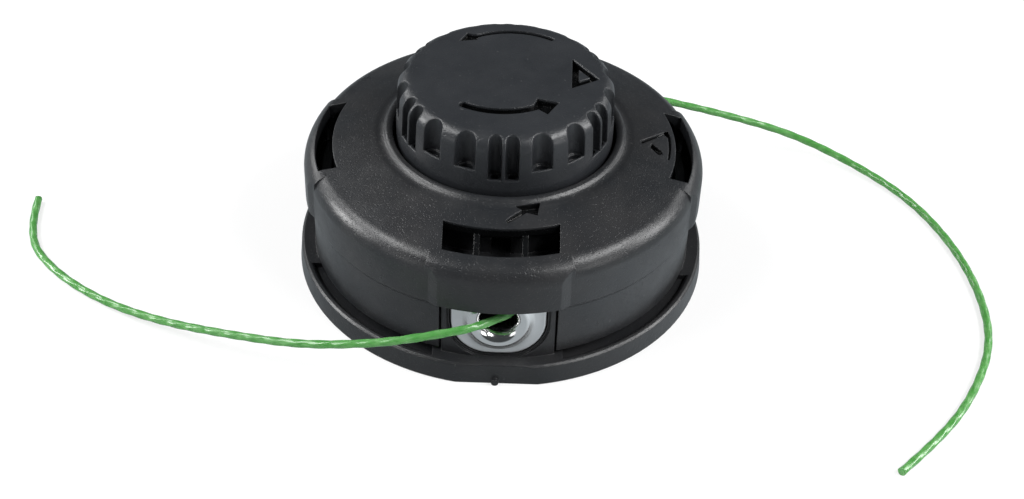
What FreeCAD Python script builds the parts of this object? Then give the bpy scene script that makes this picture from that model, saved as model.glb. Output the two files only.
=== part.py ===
import FreeCAD, Part
import math
import os

# Bump feed trimmer head, millimetres, +Z towards the bump knob.
# The origin is the centre of the flange's lower face, which faces the machine.
# Azimuth 0 is -Y, where the front eyelet is, and it grows towards +X.

V = FreeCAD.Vector
UP = V(0, 0, 1)
ORIGIN = V(0, 0, 0)

# Clearances
RUNNING = 0.08
SEAT_GAP = 0.3
SLIP = 0.25
PLAY = 0.1
REEL_GAP = 1.6
COVER_GAP = 0.6
KNOB_GAP = 0.7
NOTCH_GAP = 0.45

# How far an added form reaches into the body that carries it
ROOT = 0.1
# Edge sizes: broken edges, and the size from which a round is a true arc
EDGE = 0.3
SOFT_EDGE = 0.5
ARC_FROM = 1.15

# The line comes out at the front and the back, and the cover latches at both sides
LINE_SIDES = (0, 180)
LATCH_SIDES = (90, 270)
SIDES = LINE_SIDES + LATCH_SIDES

# Line
LINE_D = 2.0

# Motion: bump travel and the index teeth
BUMP_TRAVEL = 4.5
TEETH = 12
TOOTH_ANGLE = 10.0
TOOTH_H = 1.6
TOOTH_W = 3.8

# Spool
SPOOL_R = 40.3
SPOOL_FLANGE_T = 1.4
SPOOL_MID_T = 4.0
CHAMBER_H = 4.4
CORE_WALL = 2.0
SPRING_ROOM = 3.12
GUIDE_WALL = 1.4
CHANNEL_R = 1.3
CHANNEL_FLARE = 1.2
WEB_COVER = 0.9
TOOTH_RING_H = 4.4
NECK_WALL = 2.6
NECK_H = 19.8
SPLINES = 6
SPLINE_W = 4.0
SPLINE_DEPTH = 1.2
SNAP_DOWN = 2.4
SNAP_H = 1.2
SNAP_LAND = 0.4
SNAP_REACH = 0.6
COIL_DEPTH = 6.7
COIL_TURNS = 2
COIL_CHORD_COUNT = 4
COIL_ARC = math.radians(75.0)

# Case
FLANGE_OUT = 3.0
FLANGE_DRAFT = 0.5
FLANGE_FLAT = 1.2
LIP_TOP_Z = 5.6
LIP_W = 1.7
RIM_W = 4.1
GROOVE_Z = 4.0
FLOOR_Z = 4.2
FLOOR_T = 2.0
FLOOR_FILLET = 1.0
CUP_WALL = 2.0
CUP_DROP = 0.8
HUB_R = 11.6
HUB_LAND = 0.5
HUB_FOOT_Z = 0.8
HUB_FOOT_R = 13.5
UNDER_RIBS = 12
UNDER_RIB_W = 1.5
UNDER_RIB_Z = 0.6
UNDER_RING_R = 29.0
GATE_R = 0.85
GATE_L = 0.9
GATE_X = -0.4

# Towers that stand in the cover's notches
PANEL_HALF = 13.1
PANEL_TOP_DROP = 3.0
LEDGE_EXTRA = 2.0
LATCH_SLIT = 1.1
LATCH_SLIT_Z = 7.0
LATCH_HALF = 8.0
LATCH_HOOK_UP = -1.5
LATCH_HOOK_H = 2.2
LATCH_HOOK_REACH = 2.1

# Eyelets
EYELET_Z = 16.0
EYELET_HALF = 11.0
EYELET_CORNER = 8.6
EYELET_DOWN = 9.6
EYELET_UP = 6.6
EYELET_PLATE_T = 1.8
EYELET_THROAT_R = 3.8
EYELET_TUBE_WALL = 1.6
BEAD_MAJOR = 6.2
BEAD_MINOR = 2.3
BEAD_CHORD_COUNT = 10
BEAD_PROUD = 0.7
EYELET_DISH = 0.9

# Drive nut, M10 x 1.25 left-hand: the wall is at the thread's minor radius
THREAD_R = 4.32
NUT_BUSH_R = 7.2
NUT_SIDES = 6
NUT_AF = 17.0
NUT_HEAD_Z = 5.4
NUT_HEAD_H = 4.7
NUT_CHAMFER = 0.8
RING_T = 0.8
RING_IN_R = 7.9
RING_W = 2.4
RING_GAP_ANGLE = 40.0

# Cover
COVER_FOOT_Z = 6.4
COVER_STEP_Z = 20.5
COVER_STEP = 0.4
COVER_SWELL = 0.8
COVER_WALL = 2.2
SHOULDER_FILLET = 5.0
TOP_SLOPE = 0.28
TOP_EDGE_W = 4.5
TOP_RISE = 5.8
BORE_R = 26.7
COLLAR_W = 2.2
COLLAR_RISE = 1.7
RIM_BEAD_R = 1.2
RIM_BEAD_START = math.radians(30.0)
RIM_BEAD_CHORD_COUNT = 7
RIM_FOOT_W = 2.9
BULGE_OUT = 0.9
BULGE_HALF_IN = 20.8
BULGE_HALF_OUT = 15.8
BULGE_FACE = 12.0
BULGE_STEP_COUNT = 5
BULGE_WALL = 1.5
WINDOW_IN = 1.9
POCKET_UP = 8.5
LINE_WINDOW_GAP = 2.3
LINE_WINDOW_OUT = 4.2
LATCH_WINDOW_W = 4.2
WINDOW_HALF = 13.25
RIB_X = 5.5
RIB_T = 1.4
RIB_UNDER_TOP = 0.6
RIB_H = 2.5
LEDGE_H = 2.0
LEDGE_HALF = 9.5
LEDGE_GAP = 1.0

# Spring and its washer
WIRE_D = 1.3
WIRE_SIDES = 8
SPRING_TURNS = 4.0
WASHER_T = 0.8

# Knob
KNOB_WALL = 4.8
KNOB_STRAIGHT = 4.3
KNOB_H = 15.5
KNOB_DRAFT = 0.5
KNOB_FILLET = 4.0
KNOB_TOP_T = 3.0
KNOB_INNER_EDGE = 1.0
GROOVES = 18
PAIR_EVERY = 3
GROOVE_R = 2.5
GROOVE_DEPTH = 2.8
GROOVE_FOOT_UP = 6.5
PAIR_R = 1.55
PAIR_HALF_PITCH = 1.95
PAIR_DEPTH = 3.1
PAIR_FOOT_UP = 4.5
WELL_LEDGE = 0.5
WELL_LIP = 0.7
WELL_DEPTH = 1.3

# Where each free line runs, from the wall of its eyelet's throat to its cut end
LINE_FROM_WALL = 0.8
LINE_START_X = EYELET_THROAT_R - LINE_FROM_WALL
FRONT_ROUTE = [
    (LINE_START_X, -42.4, 16.1), (-3.4, -49.2, 16.2), (-14.8, -51.6, 16.2), (-26.0, -52.0, 14.4),
    (-44.0, -50.3, 11.0), (-62.0, -43.4, 7.0), (-80.5, -34.6, 2.4), (-96.5, -26.4, 1.0),
    (-110.5, -15.8, 1.0), (-119.6, -3.0, 1.0), (-120.2, 12.0, 1.0),
]
REAR_ROUTE = [
    (-LINE_START_X, 42.4, 16.1), (3.4, 49.2, 16.2), (14.8, 51.6, 15.8), (27.0, 52.0, 14.4),
    (45.0, 49.0, 12.4), (61.5, 48.2, 9.0), (79.5, 46.6, 4.6), (96.5, 36.8, 1.6),
    (108.5, 23.5, 1.0), (116.2, 5.5, 1.0), (119.6, -13.0, 1.0), (118.8, -31.0, 1.0),
    (111.5, -48.0, 1.0), (101.5, -62.5, 1.0), (90.0, -74.0, 1.0),
]
ARC_SHARE = 0.45

# Radii that follow from the reel outwards
CORE_R = HUB_R + RUNNING + GUIDE_WALL + SPRING_ROOM + CORE_WALL
CUP_IN_R = SPOOL_R + REEL_GAP
CUP_R = CUP_IN_R + CUP_WALL
COVER_IN_R = CUP_R + COVER_GAP
COVER_FOOT_R = COVER_IN_R + COVER_WALL
PANEL_R = COVER_FOOT_R - PLAY
COVER_R = COVER_FOOT_R + COVER_SWELL
POCKET_R = COVER_R + BULGE_OUT - BULGE_WALL
WINDOW_OUT_R = COVER_R - WINDOW_IN
LATCH_WINDOW_IN_R = WINDOW_OUT_R - LATCH_WINDOW_W
LINE_WINDOW_OUT_R = COVER_R - LINE_WINDOW_OUT
FLANGE_R = COVER_R + FLANGE_OUT
FLANGE_FLAT_Y = FLANGE_R - FLANGE_FLAT
COIL_R = SPOOL_R - COIL_DEPTH
EYELET_FACE_R = CUP_R + EYELET_PLATE_T
BEAD_CREST_R = EYELET_FACE_R + BEAD_PROUD
EYELET_TUBE_R = EYELET_THROAT_R + EYELET_TUBE_WALL
RING_OUT_R = RING_IN_R + RING_W
KNOB_R = BORE_R - KNOB_GAP
KNOB_TOP_R = KNOB_R - KNOB_DRAFT
NECK_R = KNOB_R - KNOB_WALL - SLIP
TOP_EDGE_R = BORE_R + TOP_EDGE_W
TOOTH_R_IN = BORE_R + COLLAR_W + 1.0
TOOTH_R_OUT = TOOTH_R_IN + TOOTH_W
LINE_WINDOW_IN_R = TOOTH_R_OUT + LINE_WINDOW_GAP
RIB_IN_R = LINE_WINDOW_IN_R - RIB_UNDER_TOP

# Heights that follow from the floor upwards
CASE_TEETH_TOP = FLOOR_Z + TOOTH_H
SPOOL_TEETH_FOOT = FLOOR_Z + BUMP_TRAVEL + SEAT_GAP
LOWER_FLANGE_Z = SPOOL_TEETH_FOOT + TOOTH_H
LOWER_CHAMBER_Z = LOWER_FLANGE_Z + SPOOL_FLANGE_T
MID_FLANGE_Z = LOWER_CHAMBER_Z + CHAMBER_H
UPPER_CHAMBER_Z = MID_FLANGE_Z + SPOOL_MID_T
UPPER_FLANGE_Z = UPPER_CHAMBER_Z + CHAMBER_H
SPOOL_TOP_Z = UPPER_FLANGE_Z + SPOOL_FLANGE_T
CHANNEL_Z = MID_FLANGE_Z + SPOOL_MID_T / 2
CEILING_Z = CHANNEL_Z - CHANNEL_R - WEB_COVER
SPOOL_RING_TOP = SPOOL_TOP_Z + TOOTH_RING_H
COVER_TEETH_FOOT = SPOOL_RING_TOP + SEAT_GAP
COLLAR_FOOT_Z = COVER_TEETH_FOOT + COLLAR_RISE
TOP_EDGE_Z = COVER_TEETH_FOOT + TOP_RISE
CUP_TOP_Z = SPOOL_TOP_Z - CUP_DROP
PANEL_TOP_Z = CUP_TOP_Z - PANEL_TOP_DROP
LATCH_HOOK_Z = CUP_TOP_Z + LATCH_HOOK_UP
LATCH_PAD_TOP_Z = COVER_STEP_Z - SEAT_GAP
POCKET_TOP_Z = COVER_STEP_Z + POCKET_UP
EYELET_FOOT_Z = EYELET_Z - EYELET_DOWN
EYELET_TOP_Z = EYELET_Z + EYELET_UP
NUT_TOP_Z = NUT_HEAD_Z + NUT_HEAD_H
HUB_TOP_Z = NUT_TOP_Z + RING_T + PLAY + HUB_LAND
NECK_TOP_Z = SPOOL_TOP_Z + NECK_H
SNAP_Z = NECK_TOP_Z - SNAP_DOWN
KNOB_STRAIGHT_Z = TOP_EDGE_Z + KNOB_STRAIGHT
KNOB_TOP_Z = TOP_EDGE_Z + KNOB_H
GROOVE_FOOT_Z = TOP_EDGE_Z + GROOVE_FOOT_UP
PAIR_FOOT_Z = TOP_EDGE_Z + PAIR_FOOT_UP


def rounded_wire(corners):
    """A closed wire in the XZ plane through (r, z, round) corners.

    A round under ARC_FROM is a broken edge, a short flat; a larger one is a tangent arc."""
    count = len(corners)
    ends = []
    for i, (r, z, fillet) in enumerate(corners):
        here = V(r, 0, z)
        before = V(corners[i - 1][0], 0, corners[i - 1][1])
        after = V(corners[(i + 1) % count][0], 0, corners[(i + 1) % count][1])
        if fillet <= 0:
            ends.append((here, None, here))
            continue
        to_before = (before - here).normalize()
        to_after = (after - here).normalize()
        if fillet < ARC_FROM:
            ends.append((here + to_before * fillet, None, here + to_after * fillet))
            continue
        half = to_before.getAngle(to_after) / 2
        setback = fillet / math.tan(half)
        middle = here + (to_before + to_after).normalize() * (fillet / math.sin(half) - fillet)
        ends.append((here + to_before * setback, middle, here + to_after * setback))
    edges = []
    for i, (start, middle, stop) in enumerate(ends):
        if middle is not None:
            edges.append(Part.Arc(start, middle, stop).toShape())
        elif start.distanceToPoint(stop) > 1e-6:
            edges.append(Part.LineSegment(start, stop).toShape())
        following = ends[(i + 1) % count][0]
        if stop.distanceToPoint(following) > 1e-6:
            edges.append(Part.LineSegment(stop, following).toShape())
    return Part.Wire(edges)


def turned(corners):
    """A solid of revolution about Z from (r, z, fillet) corners."""
    return Part.Face(rounded_wire(corners)).revolve(ORIGIN, UP, 360)


def chords(centre, radius, start, stop, count):
    """Points at equal steps on an arc in the XZ plane, both ends included; angles in radians."""
    step = (stop - start) / count
    angles = [start + i * step for i in range(count + 1)]
    return [V(centre[0] + radius * math.cos(a), 0, centre[1] + radius * math.sin(a)) for a in angles]


def polygon_ring(points):
    """A solid of revolution about Z from a closed polygon in the XZ plane."""
    return Part.Face(Part.makePolygon(points + points[:1])).revolve(ORIGIN, UP, 360)


def tube(r_in, r_out, z_low, z_high):
    """A plain ring between two radii and two heights."""
    ring = Part.makeCylinder(r_out, z_high - z_low, V(0, 0, z_low))
    return ring.cut(Part.makeCylinder(r_in, z_high - z_low, V(0, 0, z_low)))


def prism(points, z_low, z_high):
    """A prism over a polygon of (x, y) points."""
    outline = [V(x, y, z_low) for x, y in points]
    return Part.Face(Part.makePolygon(outline + outline[:1])).extrude(V(0, 0, z_high - z_low))


def block(half_x, y_low, y_high, z_low, z_high):
    """A box that is centred on X."""
    return Part.makeBox(2 * half_x, y_high - y_low, z_high - z_low, V(-half_x, y_low, z_low))


def front_slice(half_x, r_in, r_out, z_low, z_high):
    """The part of a ring that lies at the front, between x = -half_x and x = half_x."""
    return tube(r_in, r_out, z_low, z_high).common(block(half_x, -2 * r_out, 0, z_low, z_high))


def turn(shape, azimuth):
    """A copy turned about Z, from the front towards +X."""
    copy = shape.copy()
    copy.rotate(ORIGIN, UP, azimuth)
    return copy


def around(shape, count, first=0.0):
    """Copies of a shape at equal steps round Z."""
    return [turn(shape, first + i * 360.0 / count) for i in range(count)]


def polar(radius, azimuth):
    """The (x, y) place at a radius and an azimuth in degrees."""
    angle = math.radians(azimuth)
    return radius * math.sin(angle), -radius * math.cos(angle)


def tooth(z_low, z_high):
    """One index tooth: a ring piece as wide as the tooth angle, at the front."""
    reach = 1.2 * TOOTH_R_OUT
    wedge = prism([(0, 0), polar(reach, -TOOTH_ANGLE / 2), polar(reach, TOOTH_ANGLE / 2)], z_low, z_high)
    return tube(TOOTH_R_IN, TOOTH_R_OUT, z_low, z_high).common(wedge)


def nut_corner(across_flats):
    """The radius of a hexagon's corners."""
    return across_flats / 2 / math.cos(math.pi / NUT_SIDES)


def hexagon(across_flats, z_low, z_high):
    """A hexagonal prism about Z."""
    corner = nut_corner(across_flats)
    return prism([polar(corner, i * 360.0 / NUT_SIDES) for i in range(NUT_SIDES)], z_low, z_high)


def eyelet_outline(grow, y_low, y_high):
    """The eyelet's plate outline, a U with round lower corners, grown and extruded along Y."""
    half = EYELET_HALF + grow
    foot = EYELET_FOOT_Z - grow
    top = EYELET_TOP_Z + grow
    corner = EYELET_CORNER + grow
    wire = rounded_wire([(-half, foot, corner), (half, foot, corner), (half, top, 0), (-half, top, 0)])
    wire.translate(V(0, y_low, 0))
    return Part.Face(wire).extrude(V(0, y_high - y_low, 0))


def make_case():
    """The lower housing: flange, cup, hub, four towers, index teeth and underside ribs."""
    rim_in = FLANGE_R - RIM_W
    lip_out = FLANGE_R - FLANGE_DRAFT
    groove_r = lip_out - LIP_W
    low = FLOOR_Z - FLOOR_T
    body = turned([
        (rim_in, 0, EDGE), (FLANGE_R, 0, EDGE), (lip_out, LIP_TOP_Z, SOFT_EDGE),
        (groove_r, LIP_TOP_Z, SOFT_EDGE), (groove_r - SOFT_EDGE, GROOVE_Z, EDGE),
        (CUP_R, GROOVE_Z, EDGE), (CUP_R, CUP_TOP_Z, EDGE), (CUP_IN_R, CUP_TOP_Z, EDGE),
        (CUP_IN_R, FLOOR_Z, FLOOR_FILLET), (HUB_R, FLOOR_Z, 0), (HUB_R, HUB_TOP_Z, EDGE),
        (NUT_BUSH_R, HUB_TOP_Z, 0), (NUT_BUSH_R, HUB_FOOT_Z, 0),
        (HUB_FOOT_R, HUB_FOOT_Z, EDGE), (HUB_FOOT_R, low, 0), (rim_in, low, 0),
    ])
    added = []
    # The towers and the flat ledge that takes the lip's place at each of them
    root_r = CUP_R - ROOT
    for azimuth in SIDES:
        ledge = front_slice(PANEL_HALF + LEDGE_EXTRA, root_r, lip_out - LIP_W / 2, GROOVE_Z - ROOT, LIP_TOP_Z)
        added.append(turn(ledge, azimuth))
    for azimuth in LINE_SIDES:
        added.append(turn(front_slice(PANEL_HALF, root_r, PANEL_R, GROOVE_Z, PANEL_TOP_Z), azimuth))
    hook_out = CUP_R + LATCH_HOOK_REACH
    hook_top = LATCH_HOOK_Z + LATCH_HOOK_H
    hook = turned([
        (root_r, LATCH_HOOK_Z, 0), (hook_out, LATCH_HOOK_Z, 0), (hook_out, LATCH_HOOK_Z + SOFT_EDGE, 0),
        (CUP_R + EDGE, hook_top, 0), (root_r, hook_top, 0),
    ]).common(block(LATCH_HALF, -hook_out, 0, LATCH_HOOK_Z, hook_top))
    tongue = front_slice(LATCH_HALF, CUP_IN_R, CUP_R, CUP_TOP_Z - CUP_WALL, hook_top)
    for azimuth in LATCH_SIDES:
        pad = front_slice(PANEL_HALF, root_r, PANEL_R, GROOVE_Z, LATCH_PAD_TOP_Z)
        added += [turn(pad, azimuth), turn(tongue, azimuth), turn(hook, azimuth)]
    # Underside ribs, from the hub's foot to the rim
    rib = block(UNDER_RIB_W / 2, HUB_FOOT_R - UNDER_RIB_W, rim_in + UNDER_RIB_W, UNDER_RIB_Z, low + ROOT)
    added += around(rib, UNDER_RIBS, 180.0 / UNDER_RIBS)
    added.append(tube(UNDER_RING_R - UNDER_RIB_W, UNDER_RING_R, UNDER_RIB_Z, low + ROOT))
    added += around(tooth(FLOOR_Z - ROOT, CASE_TEETH_TOP), TEETH)
    case = body.fuse(added)
    # The nut's hexagon socket and the retaining ring's groove
    cuts = [
        hexagon(NUT_AF + 2 * PLAY, NUT_HEAD_Z, HUB_TOP_Z + HUB_LAND),
        Part.makeCylinder(RING_OUT_R + PLAY, RING_T + PLAY, V(0, 0, NUT_TOP_Z)),
    ]
    # Seats for the eyelets, open at the top so that the eyelets drop in
    tube_r = EYELET_TUBE_R + PLAY
    deep = 2 * CUP_WALL
    seat = eyelet_outline(SLIP, -FLANGE_R, 0).cut(Part.makeCylinder(CUP_R, CUP_TOP_Z))
    shallow = eyelet_outline(EYELET_DISH, -FLANGE_R, 0)
    shallow = shallow.cut(Part.makeCylinder(EYELET_FACE_R + SLIP, CUP_TOP_Z))
    slot = Part.makeCylinder(tube_r, 2 * deep, V(0, -CUP_R - deep, EYELET_Z), V(0, 1, 0))
    slot = slot.fuse(block(tube_r, -CUP_R - deep, -CUP_R + deep, EYELET_Z, CUP_TOP_Z + deep))
    for azimuth in LINE_SIDES:
        cuts += [turn(seat, azimuth), turn(shallow, azimuth), turn(slot, azimuth)]
    # Slits beside the two latch tongues
    for side in (-1, 1):
        x = side * (PANEL_HALF + LATCH_SLIT / 2 + PLAY)
        slit = block(LATCH_SLIT / 2, -CUP_R - EDGE, -CUP_IN_R + CUP_WALL, LATCH_SLIT_Z, CUP_TOP_Z + deep)
        slit.translate(V(x, 0, 0))
        cuts += around(slit, len(LATCH_SIDES), LATCH_SIDES[0])
    # The flat at the front of the flange, and the moulding gate's nub on it
    cuts.append(block(FLANGE_R, -2 * FLANGE_R, -FLANGE_FLAT_Y, -EDGE, LIP_TOP_Z + EDGE))
    gate = Part.makeCylinder(GATE_R, GATE_L + ROOT, V(GATE_X, ROOT - FLANGE_FLAT_Y, GATE_R), V(0, -1, 0))
    return case.cut(cuts).fuse(gate).removeSplitter()


def cover_top(radius):
    """The height of the cover's sloping top at a radius."""
    return TOP_EDGE_Z - TOP_SLOPE * (radius - TOP_EDGE_R)


def cover_under(radius):
    """The height of the underside of the cover's top at a radius."""
    return cover_top(radius) - COVER_WALL * math.sqrt(1 + TOP_SLOPE ** 2)


def cover_profile(extra):
    """The cover's section; extra moves the outer wall outwards, for a bulge."""
    wall = COVER_R + extra
    collar = BORE_R + COLLAR_W
    middle = (BORE_R + RIM_BEAD_R, TOP_EDGE_Z)
    bead = chords(middle, RIM_BEAD_R, RIM_BEAD_START, math.pi, RIM_BEAD_CHORD_COUNT)
    outside = [
        (COVER_IN_R, COVER_FOOT_Z, 0), (COVER_FOOT_R, COVER_FOOT_Z, EDGE),
        (wall - COVER_STEP, COVER_STEP_Z, 0), (wall, COVER_STEP_Z, EDGE),
        (wall, cover_top(wall), SHOULDER_FILLET), (TOP_EDGE_R, TOP_EDGE_Z, SOFT_EDGE),
        (BORE_R + RIM_FOOT_W, TOP_EDGE_Z, SOFT_EDGE),
    ]
    inside = [
        (BORE_R, COLLAR_FOOT_Z, EDGE), (collar, COLLAR_FOOT_Z, EDGE),
        (collar, cover_under(collar), SOFT_EDGE),
        (COVER_IN_R, cover_under(COVER_IN_R), SHOULDER_FILLET - COVER_WALL),
    ]
    return outside + [(point.x, point.z, 0) for point in bead] + inside


def bulge_plan():
    """The plan of one bulge at the front, whose sides rise out of the wall in a soft S."""
    foot = COVER_R - ROOT
    rise = BULGE_OUT + 2 * ROOT
    side = [polar(COVER_IN_R, BULGE_HALF_IN)]
    for i in range(BULGE_STEP_COUNT + 1):
        share = i / BULGE_STEP_COUNT
        smooth = share ** 2 * (3 - 2 * share)
        azimuth = BULGE_HALF_IN + share * (BULGE_HALF_OUT - BULGE_HALF_IN)
        side.append(polar(foot + rise * smooth, azimuth))
    side.append(polar(FLANGE_R, BULGE_FACE))
    return side + [(-x, y) for x, y in reversed(side)]


def make_cover():
    """The upper housing: skirt with four notches, four bulges, four windows, teeth and ribs."""
    bulge = turned(cover_profile(BULGE_OUT)).common(prism(bulge_plan(), COVER_STEP_Z, KNOB_TOP_Z))
    cover = turned(cover_profile(0.0)).fuse(around(bulge, len(SIDES)))
    notch_half = PANEL_HALF + NOTCH_GAP
    notch = front_slice(notch_half, COVER_IN_R - COVER_WALL, FLANGE_R, 0, COVER_STEP_Z)
    pocket = front_slice(notch_half, COVER_IN_R - COVER_WALL, POCKET_R, COVER_STEP_Z - ROOT, POCKET_TOP_Z)
    cuts = around(notch, len(SIDES)) + around(pocket, len(SIDES))
    window_low = POCKET_TOP_Z - COVER_WALL
    line_window = front_slice(WINDOW_HALF, LINE_WINDOW_IN_R, LINE_WINDOW_OUT_R, window_low, KNOB_TOP_Z)
    latch_window = front_slice(WINDOW_HALF, LATCH_WINDOW_IN_R, WINDOW_OUT_R, window_low, KNOB_TOP_Z)
    cuts += around(line_window, len(LINE_SIDES), LINE_SIDES[0])
    cuts += around(latch_window, len(LATCH_SIDES), LATCH_SIDES[0])
    cover = cover.cut(cuts)
    # Ribs that hold each eyelet down, seen through the line windows
    clear_r = CUP_R + SEAT_GAP
    seat_z = EYELET_TOP_Z + SEAT_GAP
    rib_r = POCKET_R + ROOT
    outline = [
        V(0, -RIB_IN_R, cover_under(RIB_IN_R) + ROOT), V(0, -RIB_IN_R, cover_under(RIB_IN_R) - RIB_H),
        V(0, -clear_r, CUP_TOP_Z + SEAT_GAP), V(0, -clear_r, seat_z), V(0, -rib_r, seat_z),
        V(0, -rib_r, POCKET_TOP_Z + ROOT), V(0, -COVER_IN_R, cover_under(COVER_IN_R) + ROOT),
    ]
    rib = Part.Face(Part.makePolygon(outline + outline[:1])).extrude(V(RIB_T, 0, 0))
    added = []
    for side in (-1, 1):
        one = rib.copy()
        one.translate(V(side * RIB_X - RIB_T / 2, 0, 0))
        added += around(one, len(LINE_SIDES), LINE_SIDES[0])
    # Ledges that the case's latch hooks hold
    ledge_z = LATCH_HOOK_Z - SEAT_GAP
    ledge = front_slice(LEDGE_HALF, CUP_R + LEDGE_GAP, rib_r, ledge_z - LEDGE_H, ledge_z)
    added += around(ledge, len(LATCH_SIDES), LATCH_SIDES[0])
    added += around(tooth(COVER_TEETH_FOOT, cover_under(TOOTH_R_OUT) + 2 * ROOT), TEETH)
    return cover.fuse(added).removeSplitter()


def make_spool():
    """The two-chamber reel with its spring pocket, line channel, index teeth and splined neck."""
    guide_in = HUB_R + RUNNING
    guide_out = guide_in + GUIDE_WALL
    core_in = CORE_R - CORE_WALL
    neck_in = NECK_R - NECK_WALL
    snap_r = NECK_R + SNAP_REACH
    ceiling_top = CHANNEL_Z + CHANNEL_R + WEB_COVER
    spool = turned([
        (guide_in, SPOOL_TEETH_FOOT, 0), (guide_out, SPOOL_TEETH_FOOT, 0), (guide_out, CEILING_Z, 0),
        (core_in, CEILING_Z, 0), (core_in, LOWER_FLANGE_Z, 0),
        (SPOOL_R, LOWER_FLANGE_Z, EDGE), (SPOOL_R, LOWER_CHAMBER_Z, EDGE), (CORE_R, LOWER_CHAMBER_Z, 0),
        (CORE_R, MID_FLANGE_Z, 0), (SPOOL_R, MID_FLANGE_Z, SOFT_EDGE), (SPOOL_R, UPPER_CHAMBER_Z, SOFT_EDGE),
        (CORE_R, UPPER_CHAMBER_Z, 0), (CORE_R, UPPER_FLANGE_Z, 0),
        (SPOOL_R, UPPER_FLANGE_Z, EDGE), (SPOOL_R, SPOOL_TOP_Z, EDGE),
        (TOOTH_R_OUT, SPOOL_TOP_Z, 0), (TOOTH_R_OUT, SPOOL_RING_TOP, EDGE),
        (TOOTH_R_IN, SPOOL_RING_TOP, EDGE), (TOOTH_R_IN, SPOOL_TOP_Z, 0),
        (NECK_R, SPOOL_TOP_Z, 0), (NECK_R, SNAP_Z, 0), (snap_r, SNAP_Z + SNAP_LAND, 0),
        (snap_r, SNAP_Z + SNAP_H - SNAP_LAND, 0), (NECK_R, SNAP_Z + SNAP_H, 0),
        (NECK_R, NECK_TOP_Z, EDGE), (neck_in, NECK_TOP_Z, EDGE), (neck_in, UPPER_FLANGE_Z, 0),
        (core_in, UPPER_FLANGE_Z, 0), (core_in, ceiling_top, 0),
        (0, ceiling_top, 0), (0, CEILING_Z, 0), (guide_in, CEILING_Z, 0),
    ])
    half_pitch = 180.0 / TEETH
    added = around(tooth(SPOOL_TEETH_FOOT, LOWER_FLANGE_Z + ROOT), TEETH, half_pitch)
    added += around(tooth(SPOOL_RING_TOP - SOFT_EDGE, SPOOL_RING_TOP + TOOTH_H), TEETH, half_pitch)
    spool = spool.fuse(added)
    # The straight channel for the line, open at the rim on both sides, and its flared mouths
    cuts = [Part.makeCylinder(CHANNEL_R, 2 * CUP_IN_R, V(0, -CUP_IN_R, CHANNEL_Z), V(0, 1, 0))]
    mouth = Part.makeCone(CHANNEL_R + CHANNEL_FLARE / 2, CHANNEL_R, 2 * CHANNEL_FLARE,
                          V(0, -SPOOL_R, CHANNEL_Z), V(0, 1, 0))
    cuts += around(mouth, 2)
    # Slots between the splines of the neck
    slot = block(SPLINE_W / 2 + SLIP, -2 * NECK_R, -NECK_R + SPLINE_DEPTH + SLIP, SPOOL_TOP_Z, 2 * NECK_TOP_Z)
    cuts += around(slot, SPLINES)
    return spool.cut(cuts).removeSplitter()


def well(radius, axis_r, foot_z, aside):
    """The small well in a groove's foot, behind a lip; aside is how far the groove is moved along X."""
    hole = Part.makeCylinder(radius - WELL_LEDGE, WELL_DEPTH + ROOT, V(0, -axis_r, foot_z - WELL_DEPTH))
    lip_r = math.sqrt((KNOB_R - WELL_LIP) ** 2 - aside ** 2)
    return hole.common(Part.makeCylinder(lip_r, WELL_DEPTH + ROOT, V(0, 0, foot_z - WELL_DEPTH)))


def make_knob():
    """The bump knob: a fluted cap with an inner bore that is splined to the spool's neck."""
    bore = NECK_R + SLIP
    inside_z = KNOB_TOP_Z - KNOB_TOP_T
    knob = turned([
        (bore, SPOOL_TOP_Z, EDGE), (KNOB_R, SPOOL_TOP_Z, SOFT_EDGE), (KNOB_R, KNOB_STRAIGHT_Z, 0),
        (KNOB_TOP_R, KNOB_TOP_Z, KNOB_FILLET), (0, KNOB_TOP_Z, 0), (0, inside_z, 0),
        (bore, inside_z, KNOB_INNER_EDGE), (bore, SNAP_Z + SNAP_H + SLIP, 0),
        (bore + SNAP_REACH, SNAP_Z + SNAP_H, 0), (bore + SNAP_REACH, SNAP_Z, 0), (bore, SNAP_Z - SLIP, 0),
    ])
    key = block(SPLINE_W / 2, -bore - ROOT, -NECK_R + SPLINE_DEPTH, SPOOL_TOP_Z + EDGE, SNAP_Z - SNAP_H)
    knob = knob.fuse(around(key, SPLINES))
    axis_r = KNOB_R - GROOVE_DEPTH + GROOVE_R
    groove = Part.makeCylinder(GROOVE_R, KNOB_TOP_Z, V(0, -axis_r, GROOVE_FOOT_Z))
    groove = groove.fuse(well(GROOVE_R, axis_r, GROOVE_FOOT_Z, 0))
    axis_r = KNOB_R - PAIR_DEPTH + PAIR_R
    slot = Part.makeCylinder(PAIR_R, KNOB_TOP_Z, V(0, -axis_r, PAIR_FOOT_Z))
    slot = slot.fuse([
        block(PAIR_R, -KNOB_R - EDGE, -axis_r, PAIR_FOOT_Z, PAIR_FOOT_Z + KNOB_TOP_Z),
        well(PAIR_R, axis_r, PAIR_FOOT_Z, PAIR_HALF_PITCH),
    ])
    cuts = []
    pitch = 360.0 / GROOVES
    for i in range(GROOVES):
        if i % PAIR_EVERY == 0:
            for side in (-1, 1):
                one = slot.copy()
                one.translate(V(side * PAIR_HALF_PITCH, 0, 0))
                cuts.append(turn(one, i * pitch))
        else:
            cuts.append(turn(groove, i * pitch))
    return knob.cut(cuts).removeSplitter()


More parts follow.
